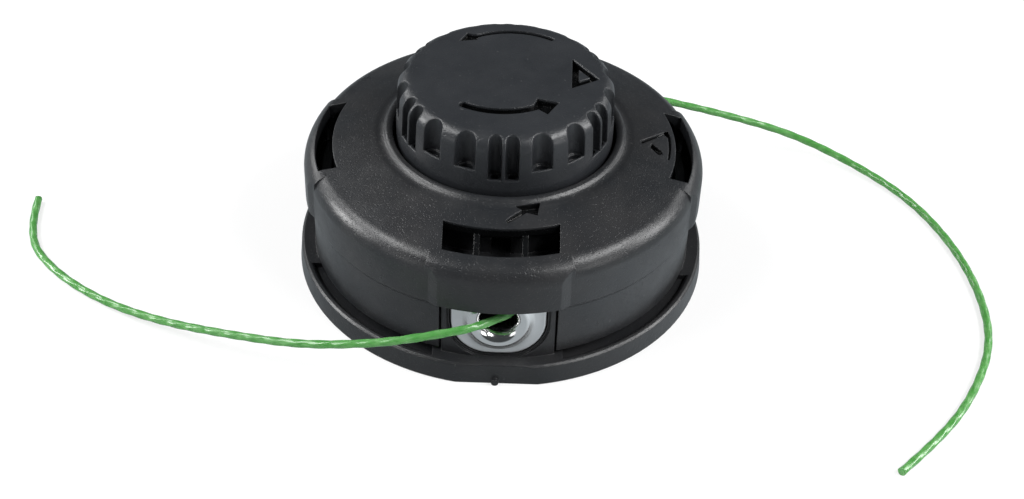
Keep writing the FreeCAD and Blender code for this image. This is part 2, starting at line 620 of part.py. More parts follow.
def make_drive_nut():
    """The steel nut: a hexagon head on a plain bush, bored for the left-hand thread."""
    bush = Part.makeCylinder(NUT_BUSH_R, NUT_HEAD_Z - HUB_FOOT_Z, V(0, 0, HUB_FOOT_Z))
    corner = nut_corner(NUT_AF)
    head = hexagon(NUT_AF, NUT_HEAD_Z, NUT_TOP_Z).common(turned([
        (0, HUB_FOOT_Z, 0), (corner + NUT_CHAMFER, HUB_FOOT_Z, 0),
        (corner + NUT_CHAMFER, NUT_TOP_Z - NUT_CHAMFER, 0), (NUT_AF / 2, NUT_TOP_Z, 0), (0, NUT_TOP_Z, 0)]))
    mouth = Part.makeCone(THREAD_R + NUT_CHAMFER, THREAD_R, NUT_CHAMFER, V(0, 0, HUB_FOOT_Z))
    bore = Part.makeCylinder(THREAD_R, NUT_TOP_Z)
    return bush.fuse(head).cut([bore, mouth])


def make_retaining_ring():
    """The split spring ring that keeps the nut in its socket."""
    ring = tube(RING_IN_R, RING_OUT_R, NUT_TOP_Z, NUT_TOP_Z + RING_T)
    reach = 2 * RING_OUT_R
    gap = prism([(0, 0), polar(reach, 180 - RING_GAP_ANGLE / 2), polar(reach, 180 + RING_GAP_ANGLE / 2)],
                NUT_TOP_Z, NUT_TOP_Z + RING_T)
    return ring.cut(gap)


def make_eyelet():
    """The die-cast front eyelet: a curved plate, a bell mouth and a short inner tube."""
    plate = eyelet_outline(0.0, -FLANGE_R, 0).common(tube(CUP_R, EYELET_FACE_R, 0, EYELET_TOP_Z))
    # The mouth's section: distance from the bore's axis against distance from the head's centre
    centre = BEAD_CREST_R - BEAD_MINOR
    dip = math.asin((CUP_R - centre) / BEAD_MINOR)
    bead = chords((BEAD_MAJOR, centre), BEAD_MINOR, math.pi - dip, dip, BEAD_CHORD_COUNT)
    # The bell turns into the throat under the bead's inner side
    base = [V(EYELET_TUBE_R, 0, CUP_R), V(EYELET_TUBE_R, 0, CUP_IN_R), V(EYELET_THROAT_R, 0, CUP_IN_R),
            V(EYELET_THROAT_R, 0, CUP_R - SOFT_EDGE)]
    ring = polygon_ring(bead + base)
    ring.rotate(ORIGIN, V(1, 0, 0), 90)
    ring.translate(V(0, 0, EYELET_Z))
    # The plate's top edge cuts the mouth off level, so that the cover's ribs can hold both down
    ring = ring.common(block(PANEL_HALF, -FLANGE_R, 0, 0, EYELET_TOP_Z))
    bore = Part.makeCylinder(EYELET_THROAT_R + SOFT_EDGE, 2 * PANEL_R, V(0, 0, EYELET_Z), V(0, -1, 0))
    return plate.cut(bore).fuse(ring).removeSplitter()


def make_spring():
    """The bump spring: round wire on a helix, with its ends ground flat."""
    radius = (HUB_R + RUNNING + GUIDE_WALL + CORE_R - CORE_WALL) / 2
    low = FLOOR_Z
    high = CEILING_Z - WASHER_T
    height = high - low
    pitch = height / SPRING_TURNS
    helix = Part.makeHelix(pitch, height, radius)
    helix.translate(V(0, 0, low))
    corners = [(radius + WIRE_D / 2 * math.cos(math.radians(a)), WIRE_D / 2 * math.sin(math.radians(a)))
               for a in range(0, 360, 360 // WIRE_SIDES)]
    outline = [V(x, 0, low + z) for x, z in corners]
    wire = Part.Wire(helix).makePipeShell([Part.makePolygon(outline + outline[:1])], True, True)
    return wire.common(Part.makeCylinder(2 * radius, height, V(0, 0, low)))


def make_thrust_washer():
    """The washer between the spring, which stands still, and the spool, which turns."""
    inner = HUB_R + RUNNING + GUIDE_WALL + SEAT_GAP
    outer = CORE_R - CORE_WALL - SEAT_GAP
    return tube(inner, outer, CEILING_Z - WASHER_T, CEILING_Z)


def make_line_coil(z_low):
    """Wound line in one chamber: a solid ring whose outside shows the top layer's turns."""
    inner = CORE_R + PLAY
    foot = z_low + PLAY
    pitch = (CHAMBER_H - 2 * PLAY) / COIL_TURNS
    crests = []
    for i in range(COIL_TURNS):
        centre = (COIL_R - pitch / 2, foot + (i + 0.5) * pitch)
        crests += chords(centre, pitch / 2, -COIL_ARC, COIL_ARC, COIL_CHORD_COUNT)
    top = foot + COIL_TURNS * pitch
    valley = crests[0].x
    ends = [V(valley, 0, top), V(inner, 0, top)]
    return polygon_ring([V(inner, 0, foot), V(valley, 0, foot)] + crests + ends)


def make_free_line(route, name):
    """A free line: straight runs joined by tangent arcs, swept with the line's round section."""
    points = [V(*p) for p in route]
    edges = []
    radii = []
    here = points[0]
    for before, corner, after in zip(points, points[1:], points[2:]):
        back = before - corner
        ahead = after - corner
        half_turn = (math.pi - back.getAngle(ahead)) / 2
        setback = ARC_SHARE * min(back.Length, ahead.Length)
        radius = setback / math.tan(half_turn)
        radii.append(radius)
        back.normalize()
        ahead.normalize()
        start = corner + back * setback
        stop = corner + ahead * setback
        middle = corner + (back + ahead).normalize() * (radius / math.cos(half_turn) - radius)
        edges.append(Part.LineSegment(here, start).toShape())
        edges.append(Part.Arc(start, middle, stop).toShape())
        here = stop
    edges.append(Part.LineSegment(here, points[-1]).toShape())
    path = Part.Wire(edges)
    length = path.Length
    direction = points[1] - points[0]
    section = Part.Wire(Part.makeCircle(LINE_D / 2, points[0], direction))
    line = path.makePipeShell([section], True, False)
    expected = math.pi * LINE_D ** 2 / 4 * length
    print(name, "length", round(length, 1), "volume share", round(line.Volume / expected, 4),
          "least radius", round(min(radii), 1), "radii", [round(r) for r in radii])
    return line


def main():
    os.makedirs("parts", exist_ok=True)
    eyelet = make_eyelet()
    nodes = {
        "case": make_case(),
        "cover": make_cover(),
        "spool": make_spool(),
        "knob": make_knob(),
        "drive_nut": make_drive_nut(),
        "retaining_ring": make_retaining_ring(),
        "eyelet_front": eyelet,
        "eyelet_rear": turn(eyelet, 180),
        "bump_spring": make_spring(),
        "thrust_washer": make_thrust_washer(),
        "line_coil_lower": make_line_coil(LOWER_CHAMBER_Z),
        "line_coil_upper": make_line_coil(UPPER_CHAMBER_Z),
        "line_front": make_free_line(FRONT_ROUTE, "line_front"),
        "line_rear": make_free_line(REAR_ROUTE, "line_rear"),
    }
    for name, shape in nodes.items():
        box = shape.BoundBox
        print(name, shape.ShapeType, "solids", len(shape.Solids), "valid", shape.isValid(),
              "volume", round(shape.Volume, 1), "z", round(box.ZMin, 2), round(box.ZMax, 2))
        shape.exportStep("parts/" + name + ".step")


main()
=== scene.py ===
import math

import bmesh
import bpy
import numpy as np
from mathutils import Matrix, Vector


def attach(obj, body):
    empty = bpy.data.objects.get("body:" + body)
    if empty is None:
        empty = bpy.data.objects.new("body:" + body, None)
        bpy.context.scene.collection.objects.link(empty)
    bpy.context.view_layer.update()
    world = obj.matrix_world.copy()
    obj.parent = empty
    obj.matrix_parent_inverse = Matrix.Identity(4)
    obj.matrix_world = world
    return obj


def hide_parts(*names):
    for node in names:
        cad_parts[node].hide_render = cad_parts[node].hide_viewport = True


# Bump feed trimmer head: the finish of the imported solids, the marks sunk into the knob and the cover, the
# bell-mouthed eyelets, the nut's thread, the twisted free lines, and the photograph's camera, floor and lamps
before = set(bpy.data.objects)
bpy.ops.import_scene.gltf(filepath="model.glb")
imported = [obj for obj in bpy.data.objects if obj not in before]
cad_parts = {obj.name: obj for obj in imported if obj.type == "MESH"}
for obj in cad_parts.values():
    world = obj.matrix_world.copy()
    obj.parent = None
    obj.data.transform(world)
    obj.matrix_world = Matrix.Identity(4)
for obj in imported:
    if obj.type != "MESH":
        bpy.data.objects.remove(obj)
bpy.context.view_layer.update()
scene = bpy.context.scene
MM = 0.001

# The camera: where the photograph was taken from and its aim, in millimetres, its roll in degrees,
# its lens and film width in millimetres, and how near and far it sees, in metres
CAMERA_AT = (0.0, -325.6, 273.1)
CAMERA_AIM = (2.86, 0.0, -0.81)
CAMERA_ROLL = 2.23
LENS = 58.66
FILM_W = 36.0
SIGHT = (0.01, 10.0)

# The floor: half its width in metres, its own colour and roughness, and the share of plain white that the
# camera sees. Reflections see it glow: far from one place of the floor at the second of two levels, the even
# backdrop, and near it at the first, a painted bright patch that lightens the right front walls mirroring it;
# the level falls between the two distances, in metres, from that place.
FLOOR_HALF = 3.0
FLOOR_GREY = (0.86, 0.86, 0.86, 1.0)
FLOOR_ROUGHNESS = 0.9
FLOOR_WHITE_SHARE = 0.7
FLOOR_PAINTED_PATCH_AT = (0.062, -0.058, 0.0)
FLOOR_PAINTED_PATCH_REACH = (0.015, 0.055)
FLOOR_BACKDROP_AND_PAINTED_PATCH = (1.0, 0.48)
WHITE = (1.0, 1.0, 1.0, 1.0)
COOL_WHITE = (0.87, 0.95, 1.0, 1.0)
WORLD_LEVEL = 0.06

# The lamps stand at one distance from the head's foot and look at its middle, in metres. Each has its azimuth
# from the front towards the right and its height angle in degrees, its width and height in metres, and its
# power in watts.
LAMP_REACH = 0.8
LAMP_AIM = (0.0, 0.0, 0.02)
LAMPS = (
    ("lamp_left_low", -92, 22, 0.28, 0.28, 4.4),
    ("lamp_left_high", -86, 52, 0.60, 0.20, 4.6),
    ("lamp_left_back", -128, 24, 0.28, 0.28, 1.2),
    ("lamp_left_front", -50, 12, 0.30, 0.30, 0.5),
    ("lamp_right_low", 90, 22, 0.28, 0.28, 3.5),
    ("lamp_right_high", 70, 48, 0.60, 0.22, 5.6),
    ("lamp_right_front", 50, 14, 0.30, 0.30, 0.9),
    ("lamp_right_back", 125, 24, 0.28, 0.28, 0.8),
)

# The knob's flat top and the cover's sloping top, in millimetres: the slope starts at the rim's radius and
# height, and the reaches are how far out the marks on each top lie
KNOB_TOP = 52.2
KNOB_MARKS_REACH = 22.3
COVER_RIM_R = 31.2
COVER_RIM_Z = 36.7
COVER_SLOPE = 0.28
COVER_MARKS_REACH = 41.7

# The marks on the knob, in millimetres and degrees: each arrow's circle (centre, radius), its stroke (start,
# neck, width) and the corners of its head; the triangle's corners and its stroke's width; how deep each is
FRONT_ARROW = ((-1.26, 2.7), 16.9, -29.6, 29.5, 2.2, [(9.7, -14.8), (12.3, -10.0), (7.3, -8.6)])
BACK_ARROW = ((1.32, 1.53), 17.62, 148.2, 209.0, 1.3, [(-9.9, 18.0), (-11.8, 14.4), (-7.4, 15.3)])
KNOB_TRIANGLE = [(15.6, 8.2), (15.3, -4.0), (21.9, 0.0)]
KNOB_TRIANGLE_W = 1.55
FRONT_ARROW_DEEP, BACK_ARROW_DEEP, KNOB_TRIANGLE_DEEP = 2.0, 1.2, 2.2

# The marks on the cover, in millimetres: each outline, the radius whose height it is measured from, its depth
COVER_ARROW = ([(1.3, -34.5), (5.6, -31.3), (8.1, -31.8), (8.6, -28.0), (2.9, -29.5), (4.5, -30.5), (0.9, -33.6)],
               33.0, 0.9)
COVER_TRIANGLE_TOP = ([(32.9, -3.0), (39.1, 3.3), (39.1, 4.5), (32.7, -2.0)], 38.6, 0.5)
COVER_TRIANGLE_SLOT = ([(34.9, -3.7), (36.8, -5.7), (37.9, -5.2), (37.8, -4.0), (35.4, -1.9)], 36.0, 1.3)
# The triangle's curved side: its near arc's radius and azimuths, its end, and its far arc's radii and azimuths
SIDE_NEAR = (39.65, (80.3, 93.0))
SIDE_END = [(38.75, 3.1), (38.8, 4.35), (39.8, 4.85)]
SIDE_FAR = ((40.4, 40.05), (94.5, 80.8))
SIDE_AT, SIDE_DEEP = 40.0, 1.0
# How many places make a mark's straight stroke, its curved side and its round end
STROKE_STEPS, SIDE_STEPS, ROUND_STEPS = 24, 9, 9
# How high the knob's cutters stand over its top, and the one height that the cover's cutters reach up to: so
# far over the slope at a radius inside all of the marks
ABOVE_KNOB, ABOVE_COVER = 1.0, 2.0
INSIDE_MARKS_R = 29.0
CUTTERS_TOP = COVER_RIM_Z - COVER_SLOPE * (INSIDE_MARKS_R - COVER_RIM_R) + ABOVE_COVER

# The shadow line under the cover's step: its section's corners (radius, height) in millimetres
STEP_GROOVE = [(47.3, 19.75), (46.75, 20.1), (46.75, 20.3), (47.3, 20.42)]
STEP_GROOVE_SIDES = 240

# The nut's thread, in millimetres: its pitch, radii, first and last height, and the flats of its section
THREAD_PITCH, THREAD_MINOR, THREAD_MAJOR = 1.25, 4.25, 5.0
THREAD_LOW, THREAD_HIGH = 0.2, 11.4
THREAD_FLAT, THREAD_FLANK = 0.12, 0.76
THREAD_SIDES, THREAD_ROWS = 48, 144

# The eyelets, in millimetres: the plate's outline about the mouth's axis, and the mouth's section
EYELET_Z = 16.0
EYELET_HALF, EYELET_DOWN, EYELET_UP, EYELET_CORNER = 11.0, 9.6, 6.6, 8.6
EYELET_FACE_R, EYELET_T, EYELET_EDGE = 45.7, 1.8, 0.45
THROAT_R, EYELET_TUBE_R, EYELET_END_R = 3.8, 5.4, 41.9
CREST_R, CREST_H, BELL_R, FLARE_DEEP = 6.5, 1.05, 8.5, 3.3
RIM_W, RIM_H = 1.7, 0.35
# The grid round the mouth and over the plate, whose rows crowd towards the throat by a power
EYELET_SIDES, EYELET_ROWS, EYELET_CROWD = 144, 60, 1.5
# The turns, in degrees, of the rows that round the plate's edge
EYELET_ROUND = (30, 60, 90)

# The trimmer line, in metres: its thickness, the length of one full twist, and the spacing of its rings.
# Its section has lobes that swing about the core's share of the radius.
LINE_D = 0.002
TWIST = 0.022
LINE_STEP = 0.0005
LINE_SIDES = 32
LINE_CORE, LINE_LOBE, LINE_LOBES = 0.95, 0.05, 4
# The steps of the curve between two places of a route, and which of the line's rings tell its course
CURVE_STEPS, COURSE_EVERY = 24, 4

# Where each free line runs, in metres. The rear course is the part's source's; the second
# to fourth places of the front one are moved a little, so that it leaves the mouth as in the photograph.
FRONT_ROUTE = [
    (0.0030, -0.0424, 0.0161), (-0.0034, -0.0492, 0.0177), (-0.0148, -0.0516, 0.0166), (-0.0260, -0.0520, 0.0141),
    (-0.0440, -0.0503, 0.0110), (-0.0620, -0.0434, 0.0070), (-0.0805, -0.0346, 0.0024), (-0.0965, -0.0264, 0.0010),
    (-0.1105, -0.0158, 0.0010), (-0.1196, -0.0030, 0.0010), (-0.1202, 0.0120, 0.0010),
]
REAR_ROUTE = [
    (-0.0030, 0.0424, 0.0161), (0.0034, 0.0492, 0.0162), (0.0148, 0.0516, 0.0158), (0.0270, 0.0520, 0.0144),
    (0.0450, 0.0490, 0.0124), (0.0615, 0.0482, 0.0090), (0.0795, 0.0466, 0.0046), (0.0965, 0.0368, 0.0016),
    (0.1085, 0.0235, 0.0010), (0.1162, 0.0055, 0.0010), (0.1196, -0.0130, 0.0010), (0.1188, -0.0310, 0.0010),
    (0.1115, -0.0480, 0.0010), (0.1015, -0.0625, 0.0010), (0.0900, -0.0740, 0.0010),
]


# The camera, the lamps and the floor
def place_camera():
    """The camera looks from its place to its aim, then turns about its own axis by the roll."""
    data = bpy.data.cameras.new("camera")
    data.lens = LENS
    data.sensor_width = FILM_W
    data.clip_start, data.clip_end = SIGHT
    camera = bpy.data.objects.new("camera", data)
    scene.collection.objects.link(camera)
    at = Vector(CAMERA_AT) * MM
    look = (Vector(CAMERA_AIM) * MM - at).to_track_quat("-Z", "Y").to_matrix().to_4x4()
    camera.matrix_world = Matrix.Translation(at) @ look @ Matrix.Rotation(math.radians(CAMERA_ROLL), 4, "Z")
    scene.camera = camera


def soft_lamp(name, azimuth, height, width, tall, energy):
    """A soft rectangular lamp that looks at the middle of the head; angles in degrees."""
    turn, rise = math.radians(azimuth), math.radians(height)
    at = LAMP_REACH * Vector((math.sin(turn) * math.cos(rise), -math.cos(turn) * math.cos(rise), math.sin(rise)))
    data = bpy.data.lights.new(name, "AREA")
    data.shape = "RECTANGLE"
    data.size = width
    data.size_y = tall
    data.energy = energy
    lamp = bpy.data.objects.new(name, data)
    lamp.location = at
    lamp.rotation_mode = "QUATERNION"
    lamp.rotation_quaternion = (Vector(LAMP_AIM) - at).to_track_quat("-Z", "Y")
    scene.collection.objects.link(lamp)


def set_stage():
    """A pale floor under the head, a soft world, and soft lamps round it."""
    mesh = bpy.data.meshes.new("floor")
    corners = [(x * FLOOR_HALF, y * FLOOR_HALF, 0) for x, y in ((-1, -1), (1, -1), (1, 1), (-1, 1))]
    mesh.from_pydata(corners, [], [(0, 1, 2, 3)])
    floor = bpy.data.objects.new("floor", mesh)
    scene.collection.objects.link(floor)
    material, tree, shader = shade("pale_floor")
    shader.inputs["Base Color"].default_value = FLOOR_GREY
    shader.inputs["Roughness"].default_value = FLOOR_ROUGHNESS
    # The camera sees it nearly white, with its shadow kept faintly; reflections see an even backdrop and, at one
    # place, a painted bright patch
    seen = tree.nodes.new("ShaderNodeLightPath")
    share = tree.nodes.new("ShaderNodeMath")
    share.operation = "MULTIPLY"
    share.inputs[1].default_value = FLOOR_WHITE_SHARE
    tree.links.new(seen.outputs["Is Camera Ray"], share.inputs[0])
    surface = shader.outputs[0]
    place = tree.nodes.new("ShaderNodeTexCoord")
    away = tree.nodes.new("ShaderNodeVectorMath")
    away.operation = "DISTANCE"
    away.inputs[1].default_value = FLOOR_PAINTED_PATCH_AT
    tree.links.new(place.outputs["Object"], away.inputs[0])
    backdrop_and_painted_patch = spread(tree, away.outputs["Value"], *FLOOR_PAINTED_PATCH_REACH, *FLOOR_BACKDROP_AND_PAINTED_PATCH)
    looks = ((share.outputs[0], WHITE, None), (seen.outputs["Is Glossy Ray"], COOL_WHITE, backdrop_and_painted_patch),
             (seen.outputs["Is Transmission Ray"], COOL_WHITE, backdrop_and_painted_patch))
    for factor, colour, level in looks:
        glow = tree.nodes.new("ShaderNodeEmission")
        glow.inputs["Color"].default_value = colour
        if level:
            tree.links.new(level, glow.inputs["Strength"])
        blend = tree.nodes.new("ShaderNodeMixShader")
        tree.links.new(factor, blend.inputs[0])
        tree.links.new(surface, blend.inputs[1])
        tree.links.new(glow.outputs[0], blend.inputs[2])
        surface = blend.outputs[0]
    tree.links.new(surface, tree.nodes["Material Output"].inputs["Surface"])
    paint(floor, material)
    world = bpy.data.worlds.new("world")
    world.use_nodes = True
    world.node_tree.nodes["Background"].inputs[0].default_value = COOL_WHITE
    world.node_tree.nodes["Background"].inputs[1].default_value = WORLD_LEVEL
    scene.world = world
    for lamp in LAMPS:
        soft_lamp(*lamp)


# Materials
# Rounded edges: how many rays each looks for its neighbour with
EDGE_SAMPLES = 6
# Sunk marks: between which two depths a place turns from top to floor, and how far past the reach that ends,
# in metres; the painted shade of the floor, a near-black colour for the shade in the recess, and how much
# smoother the floor is
SUNK = (0.0004, 0.0007)
SUNK_END = 0.0001
SUNK_PAINTED_SHADE = (0.003, 0.0032, 0.0035)
SUNK_POLISH = -0.12
# The moulded plastic's patterns as (size in metres, detail, roughness of the noise), the noise levels between
# which each fades in, its pale specks, how far its own roughness swings, and its relief's depths in metres
CLOUDS, FLECKS, SMEARS = (0.016, 4.0, 0.6), (0.0011, 1.0, 0.4), (0.007, 5.0, 0.65)
PITS, FINE, WAVES = (0.0005, 1.0, 0.5), (0.0004, 2.0, 0.6), (0.005, 2.0, 0.5)
CLOUD_FADE, FLECK_FADE, PIT_FADE = (0.35, 0.7), (0.76, 0.82), (0.61, 0.72)
# The noise levels over which a roughness swings, in every finish
SWING_FADE = (0.3, 0.7)
FLECK_COLOUR, FLECK_SHARE = (0.10, 0.10, 0.10), 0.35
SHEEN_SWING = (-0.05, 0.07)
PLASTIC_GLOSS = 0.42
PIT_DEEP, FINE_DEEP, WAVE_DEEP = 0.00003, 0.000024, 0.00008
# The cast metal: how wide the change from polished mouth to satin plate is, in metres, its clouds and relief
MOUTH_FADE = 0.0015
CAST_CLOUD, CAST_DULL = (0.003, 3.0), 0.86
CAST_GRAIN, CAST_WAVES = (0.0009, 2.0), (0.006, 2.0)
CAST_GRAIN_DEEP, CAST_WAVE_DEEP = 0.000006, 0.00004
# The steel: its stains and the streaks of its turning
STAIN, STAIN_DULL = (0.004, 4.0, 0.6), 0.6
STREAKS, STREAK_DEEP = (0.0012, 2.0, 0.5), 0.00001
STREAK_SWING = (-0.08, 0.1)
# The line's nylon: its two greens, its streaks, its roughness, and how light spreads in it
GREEN_DARK, GREEN_PALE = (0.055, 0.215, 0.045), (0.11, 0.29, 0.09)
NYLON_STREAKS, NYLON_WAVES, NYLON_WAVE_DEEP = (0.002, 2.0, 0.5), (0.0015, 2.0), 0.00002
NYLON_FADE, NYLON_ROUGHNESS = (0.35, 0.75), (0.16, 0.28)
NYLON_GLOSS, NYLON_GLOW, NYLON_EDGE = 0.6, 0.15, 0.0002
NYLON_SPREAD, NYLON_DEPTH = (0.3, 1.0, 0.3), 0.001


def shade(name):
    """A new node material; returns it with its node tree and main shader."""
    material = bpy.data.materials.new(name)
    material.use_nodes = True
    tree = material.node_tree
    return material, tree, tree.nodes["Principled BSDF"]


def paint(obj, material):
    """Gives an object one material in place of what it had."""
    obj.data.materials.clear()
    obj.data.materials.append(material)


def grain(tree, size, detail=3.0, roughness=0.55, stretch=None):
    """A noise pattern on the object's own coordinates; size is its feature in metres."""
    place = tree.nodes.new("ShaderNodeTexCoord")
    noise = tree.nodes.new("ShaderNodeTexNoise")
    noise.inputs["Scale"].default_value = 1.0 / size
    noise.inputs["Detail"].default_value = detail
    noise.inputs["Roughness"].default_value = roughness
    source = place.outputs["Object"]
    if stretch:
        mapping = tree.nodes.new("ShaderNodeMapping")
        mapping.inputs["Scale"].default_value = stretch
        tree.links.new(source, mapping.inputs["Vector"])
        source = mapping.outputs["Vector"]
    tree.links.new(source, noise.inputs["Vector"])
    return noise.outputs["Fac"]


def spread(tree, value, low, high, to_low, to_high):
    """Maps a value's range to another, clamped."""
    node = tree.nodes.new("ShaderNodeMapRange")
    node.inputs["From Min"].default_value = low
    node.inputs["From Max"].default_value = high
    node.inputs["To Min"].default_value = to_low
    node.inputs["To Max"].default_value = to_high
    tree.links.new(value, node.inputs["Value"])
    return node.outputs["Result"]


def tint(tree, share, first, second):
    """Mixes two colours by a share; each is a colour or another node's output."""
    node = tree.nodes.new("ShaderNodeMix")
    node.data_type = "RGBA"
    tree.links.new(share, node.inputs["Factor"])
    for socket, colour in ((node.inputs["A"], first), (node.inputs["B"], second)):
        if hasattr(colour, "links"):
            tree.links.new(colour, socket)
        else:
            socket.default_value = (*colour, 1.0)
    return node.outputs["Result"]


def relief(tree, shader, heights, edge):
    """Bumps from (value, depth) pairs over edges that are rounded by a radius, all in metres."""
    rounded = tree.nodes.new("ShaderNodeBevel")
    rounded.samples = EDGE_SAMPLES
    rounded.inputs["Radius"].default_value = edge
    normal = rounded.outputs["Normal"]
    for value, depth in heights:
        bump = tree.nodes.new("ShaderNodeBump")
        bump.inputs["Strength"].default_value = 1.0
        bump.inputs["Distance"].default_value = depth
        tree.links.new(value, bump.inputs["Height"])
        tree.links.new(normal, bump.inputs["Normal"])
        normal = bump.outputs["Normal"]
    tree.links.new(normal, shader.inputs["Normal"])


def below_cone(tree, height, slope, reach):
    """How far a place is sunk under a cone: 0 down to the first of SUNK, 1 from the second on, 0 past its reach.

    The cone's height, in metres, falls by the slope times the distance from the head's axis."""
    place = tree.nodes.new("ShaderNodeTexCoord")
    parts = tree.nodes.new("ShaderNodeSeparateXYZ")
    flat = tree.nodes.new("ShaderNodeVectorMath")
    flat.operation = "MULTIPLY"
    flat.inputs[1].default_value = (1.0, 1.0, 0.0)
    out = tree.nodes.new("ShaderNodeVectorMath")
    out.operation = "LENGTH"
    level = tree.nodes.new("ShaderNodeMath")
    level.operation = "MULTIPLY_ADD"
    level.inputs[1].default_value = slope
    share = tree.nodes.new("ShaderNodeMath")
    share.operation = "MULTIPLY"
    tree.links.new(place.outputs["Object"], parts.inputs[0])
    tree.links.new(place.outputs["Object"], flat.inputs[0])
    tree.links.new(flat.outputs[0], out.inputs[0])
    tree.links.new(out.outputs["Value"], level.inputs[0])
    tree.links.new(parts.outputs["Z"], level.inputs[2])
    tree.links.new(spread(tree, level.outputs[0], height - SUNK[1], height - SUNK[0], 1.0, 0.0), share.inputs[0])
    tree.links.new(spread(tree, out.outputs["Value"], reach, reach + SUNK_END, 1.0, 0.0), share.inputs[1])
    return share.outputs[0]


def moulded_plastic(name, dark, pale, roughness, edge, sunk=None):
    """Charcoal glass-filled nylon: cloudy colour, fine moulding grain, pale specks and rubbed sheen.

    Sunk places, under the cone that sunk gives, are the floors of the marks: smoother, and painted near-black as
    shade in the recesses."""
    material, tree, shader = shade(name)
    colour = tint(tree, spread(tree, grain(tree, *CLOUDS), *CLOUD_FADE, 0.0, 1.0), dark, pale)
    flecks = spread(tree, grain(tree, *FLECKS), *FLECK_FADE, 0.0, FLECK_SHARE)
    colour = tint(tree, flecks, colour, FLECK_COLOUR)
    # Painted shade: the floors of the sunk marks turn near-black, as the shade in their recesses
    if sunk:
        colour = tint(tree, below_cone(tree, *sunk), colour, SUNK_PAINTED_SHADE)
    tree.links.new(colour, shader.inputs["Base Color"])
    sheen = spread(tree, grain(tree, *SMEARS), *SWING_FADE, roughness + SHEEN_SWING[0], roughness + SHEEN_SWING[1])
    if sunk:
        polish = tree.nodes.new("ShaderNodeMath")
        polish.operation = "MULTIPLY_ADD"
        polish.inputs[1].default_value = SUNK_POLISH
        tree.links.new(below_cone(tree, *sunk), polish.inputs[0])
        tree.links.new(sheen, polish.inputs[2])
        sheen = polish.outputs[0]
    tree.links.new(sheen, shader.inputs["Roughness"])
    shader.inputs["Specular IOR Level"].default_value = PLASTIC_GLOSS
    pits = spread(tree, grain(tree, *PITS), *PIT_FADE, 1.0, 0.0)
    heights = ((pits, PIT_DEEP), (grain(tree, *FINE), FINE_DEEP), (grain(tree, *WAVES), WAVE_DEEP))
    relief(tree, shader, heights, edge)
    return material


def bright_metal(name, colour, smooth, rough, mouth, edge):
    """Tumbled die-cast zinc: satin away from the mouth and polished by the line inside it."""
    material, tree, shader = shade(name)
    shader.inputs["Metallic"].default_value = 1.0
    place = tree.nodes.new("ShaderNodeTexCoord")
    shift = tree.nodes.new("ShaderNodeVectorMath")
    shift.operation = "SUBTRACT"
    shift.inputs[1].default_value = (0.0, 0.0, EYELET_Z * MM)
    flatten = tree.nodes.new("ShaderNodeVectorMath")
    flatten.operation = "MULTIPLY"
    flatten.inputs[1].default_value = (1.0, 0.0, 1.0)
    reach = tree.nodes.new("ShaderNodeVectorMath")
    reach.operation = "LENGTH"
    tree.links.new(place.outputs["Object"], shift.inputs[0])
    tree.links.new(shift.outputs[0], flatten.inputs[0])
    tree.links.new(flatten.outputs[0], reach.inputs[0])
    away = spread(tree, reach.outputs["Value"], mouth, mouth + MOUTH_FADE, 0.0, 1.0)
    dull = tuple(CAST_DULL * c for c in colour)
    tree.links.new(tint(tree, grain(tree, *CAST_CLOUD), colour, dull), shader.inputs["Base Color"])
    level = tree.nodes.new("ShaderNodeMath")
    level.operation = "MULTIPLY_ADD"
    level.inputs[1].default_value = rough - smooth
    level.inputs[2].default_value = smooth
    tree.links.new(away, level.inputs[0])
    tree.links.new(level.outputs[0], shader.inputs["Roughness"])
    heights = ((grain(tree, *CAST_GRAIN), CAST_GRAIN_DEEP), (grain(tree, *CAST_WAVES), CAST_WAVE_DEEP))
    relief(tree, shader, heights, edge)
    return material


def plain_metal(name, colour, roughness, stretch, edge):
    """Turned or drawn steel: a streaked surface with a little oil stain."""
    material, tree, shader = shade(name)
    shader.inputs["Metallic"].default_value = 1.0
    dull = tuple(STAIN_DULL * c for c in colour)
    tree.links.new(tint(tree, grain(tree, *STAIN), colour, dull), shader.inputs["Base Color"])
    lines = grain(tree, *STREAKS, stretch)
    sheen = spread(tree, lines, *SWING_FADE, roughness + STREAK_SWING[0], roughness + STREAK_SWING[1])
    tree.links.new(sheen, shader.inputs["Roughness"])
    relief(tree, shader, ((lines, STREAK_DEEP),), edge)
    return material


def green_nylon(name):
    """Extruded green nylon: glossy, a little cloudy, paler in streaks along its length."""
    material, tree, shader = shade(name)
    streak = grain(tree, *NYLON_STREAKS)
    colour = tint(tree, spread(tree, streak, *NYLON_FADE, 0.0, 1.0), GREEN_DARK, GREEN_PALE)
    tree.links.new(colour, shader.inputs["Base Color"])
    tree.links.new(spread(tree, streak, *SWING_FADE, *NYLON_ROUGHNESS), shader.inputs["Roughness"])
    shader.inputs["Specular IOR Level"].default_value = NYLON_GLOSS
    shader.inputs["Subsurface Weight"].default_value = NYLON_GLOW
    shader.inputs["Subsurface Radius"].default_value = NYLON_SPREAD
    shader.inputs["Subsurface Scale"].default_value = NYLON_DEPTH
    relief(tree, shader, ((grain(tree, *NYLON_WAVES), NYLON_WAVE_DEEP),), NYLON_EDGE)
    return material


# Meshes
# How near two corners are merged, in metres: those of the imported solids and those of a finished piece
MERGE_SOLID, MERGE_FINE = 2e-6, 1e-6
# Faces that meet at more than this, in degrees, keep a sharp edge: on most pieces, the cover and the eyelets
SHARP, COVER_SHARP, EYELET_SHARP = 32.0, 62.0, 40.0
# How much the large faces lead in the shading, of 100: on most pieces and on the cover
LARGE_LEAD, COVER_LEAD = 100, 50


def add_mesh(name, points, faces, body=None, material=None):
    """A mesh object from an array of points in metres and a list of faces."""
    mesh = bpy.data.meshes.new(name)
    mesh.from_pydata(np.asarray(points, float), [], faces)
    mesh.update()
    obj = bpy.data.objects.new(name, mesh)
    scene.collection.objects.link(obj)
    if body:
        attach(obj, body)
        paint(obj, material)
    return obj


